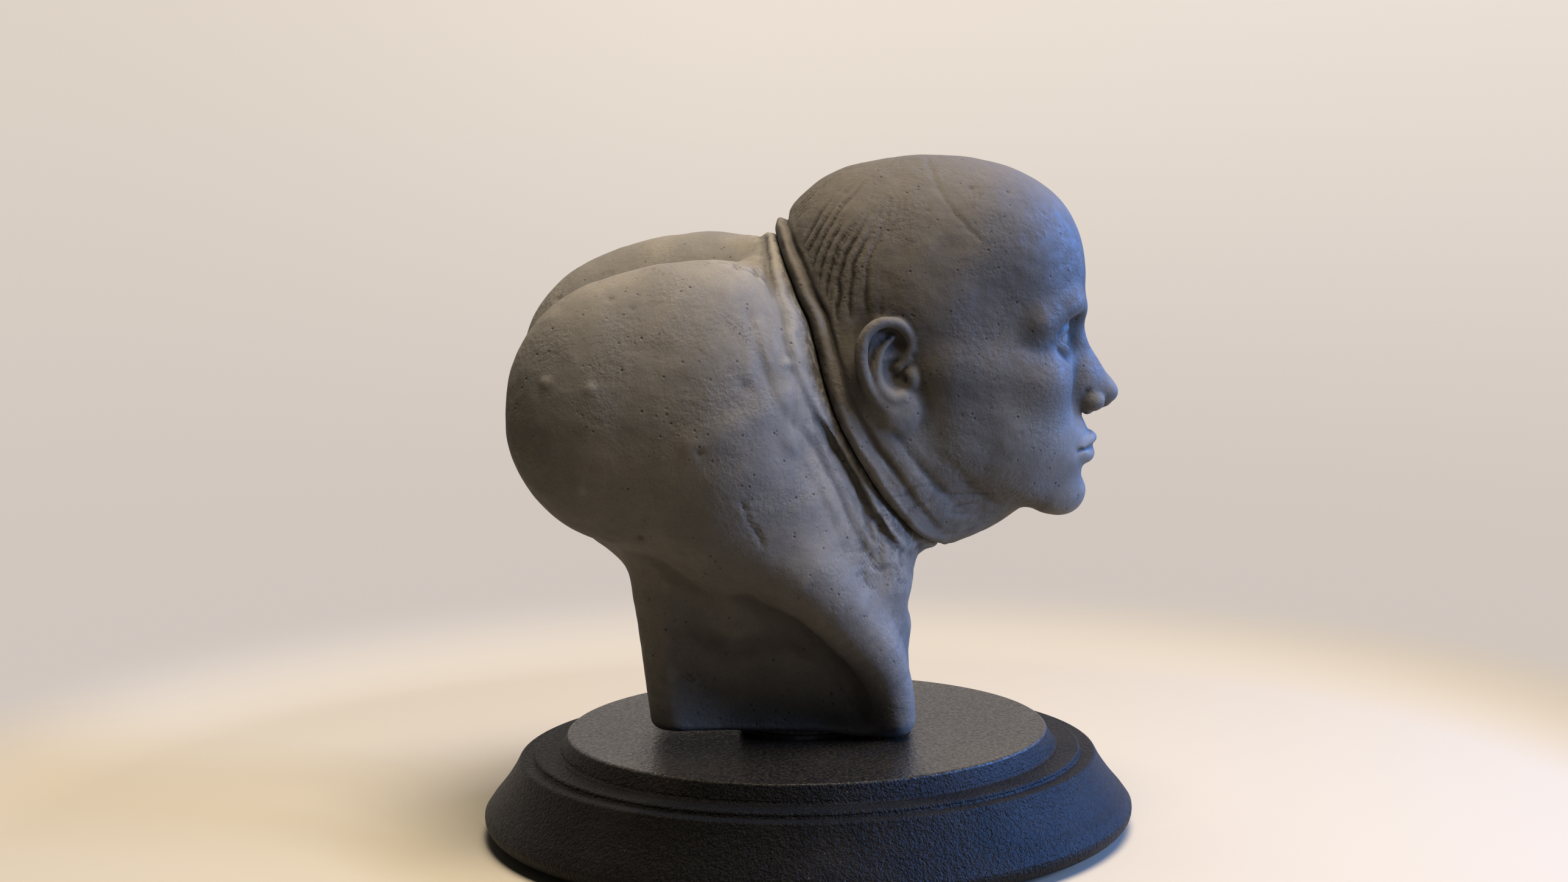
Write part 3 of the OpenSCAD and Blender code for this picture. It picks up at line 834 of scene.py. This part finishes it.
def sculpted_shade_and_highlight(mat, col, deep):
    """Painted shade in strand grooves and hollows, painted highlight on ridges, and a darker
    speckled band along the seam.
    """
    # painted shade: strand grooves, fine creases and broad hollows are darkened
    col = mat.mix(mat.attr("hair", span=(0.15, 1.0), to=(0, 0.7)), col, (0.036, 0.032, 0.028))
    col = mat.mix(mat.attr("fine", span=(0.12, 0.95), to=(0, 0.62)), col, deep)
    col = mat.mix(mat.attr("wide", span=(0.25, 1.0), to=(0, 0.50)), col, (0.062, 0.056, 0.049))
    # painted highlight: convex ridges are lightened
    col = mat.mix(mat.attr("fine", span=(-0.2, -0.9), to=(0, 0.30)), col, (0.215, 0.200, 0.175))
    near = mat.times(mat.attr("seam", span=(1.3, 0.3)),
                     by=mat.patches(mm=2.4, detail=3, rough=0.7, span=(0.35, 0.60)))
    return mat.mix(mat.times(near, by=0.7), col, (0.022, 0.020, 0.018))


def primer(name, sculpted, upper=1.0, dust=0.22):
    """Sprayed grey primer: dry grain, dark pinholes and clouds, with upward faces lightened as dust
    and painted top light, and painted shade over the upper head.
    """
    mat = Nodes(name)
    warm, cool, deep = (0.150, 0.136, 0.115), (0.114, 0.107, 0.098), (0.045, 0.041, 0.037)
    col = mat.mix(mat.patches(mm=26, detail=3, rough=0.6, span=(0.38, 0.64)), cool, warm)
    col = mat.mix(mat.patches(mm=7, detail=4, rough=0.65, shift=0.3, span=(0.52, 0.72),
                              to=(0, 0.28)), col, (0.175, 0.162, 0.140))
    # spray speckle, then rare pinholes
    col = mat.mix(mat.patches(mm=0.55, detail=2, rough=0.7, span=(0.36, 0.70), to=(0.0, 0.34)),
                  col, (0.078, 0.073, 0.066))
    rare = mat.patches(mm=5.5, detail=3, rough=0.6, shift=0.11, span=(0.50, 0.62))
    col = mat.mix(mat.times(mat.ramp(mat.cells(mm=2.1), span=(0.19, 0.08)), by=rare), col, deep)
    # patches where the spray is thin and dark speckles show
    thin = mat.times(mat.patches(mm=17, detail=3, rough=0.6, shift=0.77, span=(0.60, 0.70)),
                     by=mat.patches(mm=0.9, detail=3, rough=0.8, shift=0.2, span=(0.50, 0.62)))
    col = mat.mix(mat.times(thin, by=0.7), col, deep)
    if sculpted:
        col = sculpted_shade_and_highlight(mat, col, deep)
    # dust and painted top light: faces turned upwards are lightened by the dust share
    facing_up = mat.axis("Z", mat.new("ShaderNodeNewGeometry").outputs["Normal"])
    col = mat.mix(mat.ramp(facing_up, span=(0.15, 0.95), to=(0.0, dust)), col,
                  (0.235, 0.215, 0.185))
    if upper < 1:  # painted shade: the head is darker above a height, where less light falls
        shade = mat.mix(1.0, col, (upper, upper * 0.975, upper * 0.95), "MULTIPLY")
        col = mat.mix(mat.ramp(mat.axis("Z"), span=(0.088, 0.126)), col, shade)
    bumps = mat.bump(mat.noise(mm=3.4), mm=0.40, strength=0.45)
    grit = mat.patches(mm=15, detail=2, rough=0.5, shift=0.5, span=(0.40, 0.62), to=(0.12, 0.85))
    bumps = mat.bump(mat.noise(mm=1.15, rough=0.55), mm=0.30, strength=grit, normal=bumps)
    bumps = mat.bump(mat.noise(mm=0.5, rough=0.6), mm=0.09, strength=0.6, normal=bumps)
    bumps = mat.bump(mat.ramp(mat.cells(mm=2.1), span=(0.05, 0.26)), mm=0.25,
                     strength=mat.times(rare, by=0.7), normal=bumps)
    rough = mat.patches(mm=3.0, detail=3, rough=0.6, span=(0.3, 0.7), to=(0.80, 0.66))
    mat.coat(col, rough, bumps, specular=0.32)
    return mat.material


def plinth_paint():
    """Black texture paint: a tight satin grain with brownish clouds and dust, and a painted sheen on
    the top disc.
    """
    mat = Nodes("plinth_paint")
    disc = (0.0246, 0.0252)  # heights over which the top disc's finish takes over
    col = mat.mix(mat.patches(mm=0.5, detail=2, rough=0.6, span=(0.35, 0.7)),
                  (0.0025, 0.0024, 0.0024), (0.0075, 0.0070, 0.0066))
    col = mat.mix(mat.patches(mm=34, detail=3, rough=0.6, span=(0.45, 0.68), to=(0, 0.5)),
                  col, (0.013, 0.0115, 0.010))
    dust = mat.times(mat.patches(mm=1.3, detail=3, rough=0.75, shift=0.4, span=(0.64, 0.74)),
                     by=mat.patches(mm=22, detail=2, rough=0.5, span=(0.45, 0.62)))
    col = mat.mix(mat.times(dust, by=0.35), col, (0.12, 0.11, 0.10))
    # dust in the grain of the top disc, and painted sheen: the top disc is lighter and warmer
    z = mat.axis("Z")
    top = mat.times(mat.ramp(z, span=disc),
                    by=mat.patches(mm=0.9, detail=2, rough=0.6, shift=0.9, span=(0.42, 0.68)))
    col = mat.mix(mat.times(top, by=0.24), col, (0.086, 0.069, 0.047))
    rough = mat.math("SUBTRACT", mat.patches(mm=0.8, detail=2, rough=0.6, span=(0.3, 0.7),
                                             to=(0.42, 0.56)),
                     mat.ramp(z, span=disc, to=(0.0, 0.18)))
    glint = mat.patches(mm=0.85, detail=2, rough=0.7, shift=1.7, span=(0.40, 0.62),
                        to=(0.20, 0.80))
    calm = mat.ramp(z, span=disc, to=(1.0, 0.30))
    bumps = mat.bump(mat.noise(mm=6.0), mm=0.30, strength=0.25)
    bumps = mat.bump(mat.noise(mm=1.1, rough=0.55), mm=0.46, strength=calm, normal=bumps)
    bumps = mat.bump(mat.noise(mm=0.55, rough=0.6), mm=0.28, strength=calm, normal=bumps)
    mat.coat(col, rough, bumps, specular=mat.ramp(z, span=disc, to=(0.095, glint)))
    return mat.material


def steel(name, colour, rough, stretch=(1, 1, 0.12)):
    """Mottled bare metal; the default stretch draws its grain out along Z."""
    mat = Nodes(name)
    col = mat.mix(mat.patches(mm=2.2, detail=4, rough=0.7, span=(0.3, 0.75)),
                  tuple(v * 0.5 for v in colour), colour)
    sheen = mat.patches(mm=1.0, detail=3, rough=0.6, stretch=stretch, span=(0.3, 0.7),
                        to=(rough - 0.08, rough + 0.14))
    scratches = mat.noise(mm=0.5, detail=3, rough=0.6, stretch=stretch)
    mat.coat(col, sheen, mat.bump(scratches, mm=0.05, strength=0.5), metallic=1.0)
    return mat.material


def foil():
    mat = Nodes("foil")
    col = mat.mix(mat.patches(mm=5, detail=3, rough=0.7, span=(0.35, 0.7)),
                  (0.55, 0.56, 0.58), (0.80, 0.81, 0.82))
    rough = mat.patches(mm=3, detail=3, rough=0.6, span=(0.3, 0.7), to=(0.22, 0.42))
    bumps = mat.bump(mat.cells(mm=7.0, feature="DISTANCE_TO_EDGE"), mm=1.2, strength=1.0)
    bumps = mat.bump(mat.noise(mm=2.0, detail=4, rough=0.7), mm=0.5, strength=0.9, normal=bumps)
    mat.coat(col, rough, bumps, metallic=1.0)
    return mat.material


def dull(name, dark, light, mm, rough, bump_mm):
    mat = Nodes(name)
    col = mat.mix(mat.patches(mm=mm, detail=4, rough=0.65, span=(0.35, 0.68)), dark, light)
    sheen = mat.patches(mm=mm * 0.6, detail=3, rough=0.6, span=(0.3, 0.7),
                        to=(rough - 0.08, rough + 0.08))
    bumps = mat.noise(mm=mm * 0.35, detail=3, rough=0.65)
    mat.coat(col, sheen, mat.bump(bumps, mm=bump_mm, strength=0.6))
    return mat.material


head.data.materials.append(primer("clay_primer_head", sculpted=True, upper=0.50, dust=0.34))
torso.data.materials.append(primer("clay_primer", sculpted=True, dust=0.08))
eye_primer = primer("eye_primer", sculpted=False)
for obj in eyes:
    obj.data.materials.append(eye_primer)

EVEN = (1, 1, 1)
zinc = steel("zinc_steel", (0.62, 0.63, 0.64), rough=0.34)
looks = {
    "plinth": plinth_paint(),
    "plinth_sleeve": dull("nylon", (0.72, 0.70, 0.64), (0.80, 0.79, 0.74),
                          mm=3.0, rough=0.42, bump_mm=0.05),
    "slip_disc": dull("fibre", (0.055, 0.045, 0.036), (0.105, 0.088, 0.070),
                      mm=0.9, rough=0.75, bump_mm=0.12),
    "rubber_feet": dull("rubber", (0.012, 0.012, 0.012), (0.030, 0.030, 0.031),
                        mm=1.2, rough=0.72, bump_mm=0.10),
    "feet_screws": zinc, "jam_nut": zinc, "lock_nut": zinc, "flat_washer": zinc,
    "armature_post": steel("bright_steel", (0.60, 0.60, 0.61), rough=0.27),
    "foot_plate": steel("mill_steel", (0.42, 0.42, 0.43), rough=0.40, stretch=EVEN),
    "spring_washer": steel("spring_steel", (0.24, 0.24, 0.25), rough=0.38, stretch=EVEN),
    "neck_wires": steel("soft_aluminium", (0.78, 0.79, 0.80), rough=0.38),
    "binding_wire": steel("tie_wire", (0.52, 0.53, 0.54), rough=0.34, stretch=EVEN),
    "torso_core": foil(),
}
looks["head_core"] = looks["torso_core"]
looks["shoulder_wire"] = looks["neck_wires"]
for node, material in looks.items():
    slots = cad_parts[node].data.materials
    if not slots:
        slots.append(material)
    for k in range(len(slots)):
        slots[k] = material


# Stage

def rings(profile, count, first=0):
    """Points and quads swept round Z through (radius, z) in mm, numbered from first."""
    turns = [2 * math.pi * j / count for j in range(count)]
    pts = [(r * math.cos(a) * MM, r * math.sin(a) * MM, z * MM) for r, z in profile for a in turns]
    quads = []
    for i in range(len(profile) - 1):
        near, far = first + i * count, first + (i + 1) * count
        for j in range(count):
            k = (j + 1) % count
            quads.append((near + j, far + j, far + k, near + k))
    return pts, quads


def stage_object(name, pts, faces):
    mesh = bpy.data.meshes.new(name)
    mesh.from_pydata(pts, [], faces)
    mesh.update()
    return link(name, mesh)


def floor_nodes(name):
    mat = Nodes(name)
    bumps = mat.bump(mat.noise(mm=1.6, detail=3, rough=0.6), mm=0.05, strength=0.3)
    mat.coat((0.385, 0.350, 0.283), 0.85, bumps)
    return mat


def sweep_look():
    """Pale floor that turns into a glowing wall, seen only by the camera and in reflections."""
    mat = floor_nodes("pale_sweep")
    x, y, z = mat.axis("X"), mat.axis("Y"), mat.axis("Z")
    wall = mat.mix(mat.ramp(x, span=(-0.26, 0.0)), (0.74, 0.66, 0.57), (0.86, 0.77, 0.67))
    wall = mat.mix(mat.ramp(x, span=(0.02, 0.24)), wall, (0.86, 0.77, 0.69))
    wall = mat.mix(mat.ramp(z, span=(0.02, 0.28)), (0.63, 0.565, 0.52), wall)
    glow = mat.new("ShaderNodeEmission", {"Color": wall, "Strength": 1.0}).outputs[0]
    outside = mat.new("ShaderNodeNewGeometry").outputs["Backfacing"]
    path = mat.new("ShaderNodeLightPath").outputs
    sheen = mat.times(path["Is Glossy Ray"], by=mat.ramp(y, span=(-0.05, 0.12)))
    unseen = mat.math("SUBTRACT", 1.0, mat.math("MAXIMUM", path["Is Camera Ray"], sheen))
    above = mat.ramp(z, span=(0.001, 0.006))
    clear = mat.math("MAXIMUM", outside, mat.times(unseen, by=above))
    through = mat.new("ShaderNodeBsdfTransparent").outputs[0]
    solid = mat.new("ShaderNodeMixShader", {0: mat.ramp(z, span=(0.0004, 0.022)),
                                            1: mat.principled.outputs[0], 2: glow}).outputs[0]
    mixed = mat.new("ShaderNodeMixShader", {0: clear, 1: solid, 2: through}).outputs[0]
    mat.plug(mat.tree.nodes["Material Output"].inputs["Surface"], mixed)
    return mat.material


def floor_sweep():
    """Floor that curves up into a wall all round."""
    count, flat_r, bend_r, drop = 160, 205, 62, 0.15
    profile = [(60.0, 0.0), (120.0, 0.0), (170.0, 0.0), (flat_r, 0.0)]
    for i in range(1, 17):
        a = math.pi / 2 * i / 16
        profile.append((flat_r + bend_r * math.sin(a), bend_r * (1 - math.cos(a))))
    profile += [(267.5, 140.0), (268.0, 300.0), (268.5, 700.0)]
    pts, quads = rings([(r, z - drop) for r, z in profile], count, first=1)
    fan = [(0, 1 + j, 1 + (j + 1) % count) for j in range(count)]
    obj = stage_object("floor_sweep", [(0, 0, -drop * MM)] + pts, fan + quads)
    obj.data.polygons.foreach_set("use_smooth", [True] * len(obj.data.polygons))
    obj.data.materials.append(sweep_look())


def floor_outer():
    """The floor beyond the sweep, for cameras further back. Only cameras see it."""
    pts, quads = rings([(r, -0.4) for r in (203.0, 320.0, 700.0, 1600.0, 4000.0)], 96)
    obj = stage_object("floor_outer", pts, quads)
    obj.data.materials.append(floor_nodes("pale_floor").material)
    obj.visible_diffuse = obj.visible_glossy = False
    obj.visible_transmission = obj.visible_shadow = False


floor_sweep()
floor_outer()


# Lights, world and camera

def area(name, place, target, power, size, colour, diffuse=True, glossy=True):
    light = bpy.data.lights.new(name, "AREA")
    light.shape = "RECTANGLE"
    light.energy, light.color = power, colour
    light.size, light.size_y = size
    obj = link(name, light)
    obj.location = place
    obj.rotation_euler = (Vector(target) - Vector(place)).to_track_quat("-Z", "Y").to_euler()
    obj.visible_camera, obj.visible_diffuse, obj.visible_glossy = False, diffuse, glossy


area("key", place=(0.16, -0.20, 0.96), target=(0.0, 0.0, 0.10), power=19.6,
     size=(0.50, 0.50), colour=(1.0, 0.86, 0.69), glossy=False)
area("top", place=(0.00, 0.20, 1.05), target=(0.0, 0.0, 0.10), power=4.5,
     size=(0.6, 0.5), colour=(1.0, 0.90, 0.76))
area("window", place=(0.79, -0.16, 0.31), target=(0.02, 0.0, 0.07), power=10.0,
     size=(0.22, 0.24), colour=(0.34, 0.52, 1.0))
area("window_glint", place=(0.74, 0.28, 0.42), target=(0.05, -0.04, 0.02), power=25.0,
     size=(0.36, 0.40), colour=(0.03, 0.28, 1.0), diffuse=False)

scene = bpy.context.scene
world = bpy.data.worlds.new("studio")
scene.world = world
world.use_nodes = True
background = world.node_tree.nodes["Background"]
background.inputs["Color"].default_value = (0.90, 0.87, 0.84, 1)
background.inputs["Strength"].default_value = 0.035


def add_camera():
    """Looks along +Y at the bust's right side, a little downwards."""
    place = (0.00147, -0.5976, 0.16274)
    yaw, pitch, roll = -0.010, 0.1071, -0.0177  # radians
    lens = bpy.data.cameras.new("camera")
    lens.sensor_fit, lens.sensor_width = "HORIZONTAL", 36.0
    lens.lens = 54.5045031
    lens.clip_start, lens.clip_end = 0.01, 20
    ahead = Vector((math.sin(yaw) * math.cos(pitch), math.cos(yaw) * math.cos(pitch),
                    -math.sin(pitch)))
    level = Vector((math.cos(yaw), -math.sin(yaw), 0))
    upright = level.cross(ahead)
    right = math.cos(roll) * level + math.sin(roll) * upright
    up = -math.sin(roll) * level + math.cos(roll) * upright
    obj = link("camera", lens)
    obj.matrix_world = Matrix((*zip(right, up, -ahead, place), (0, 0, 0, 1)))
    scene.camera = obj


add_camera()
scene.view_settings.view_transform = "Standard"
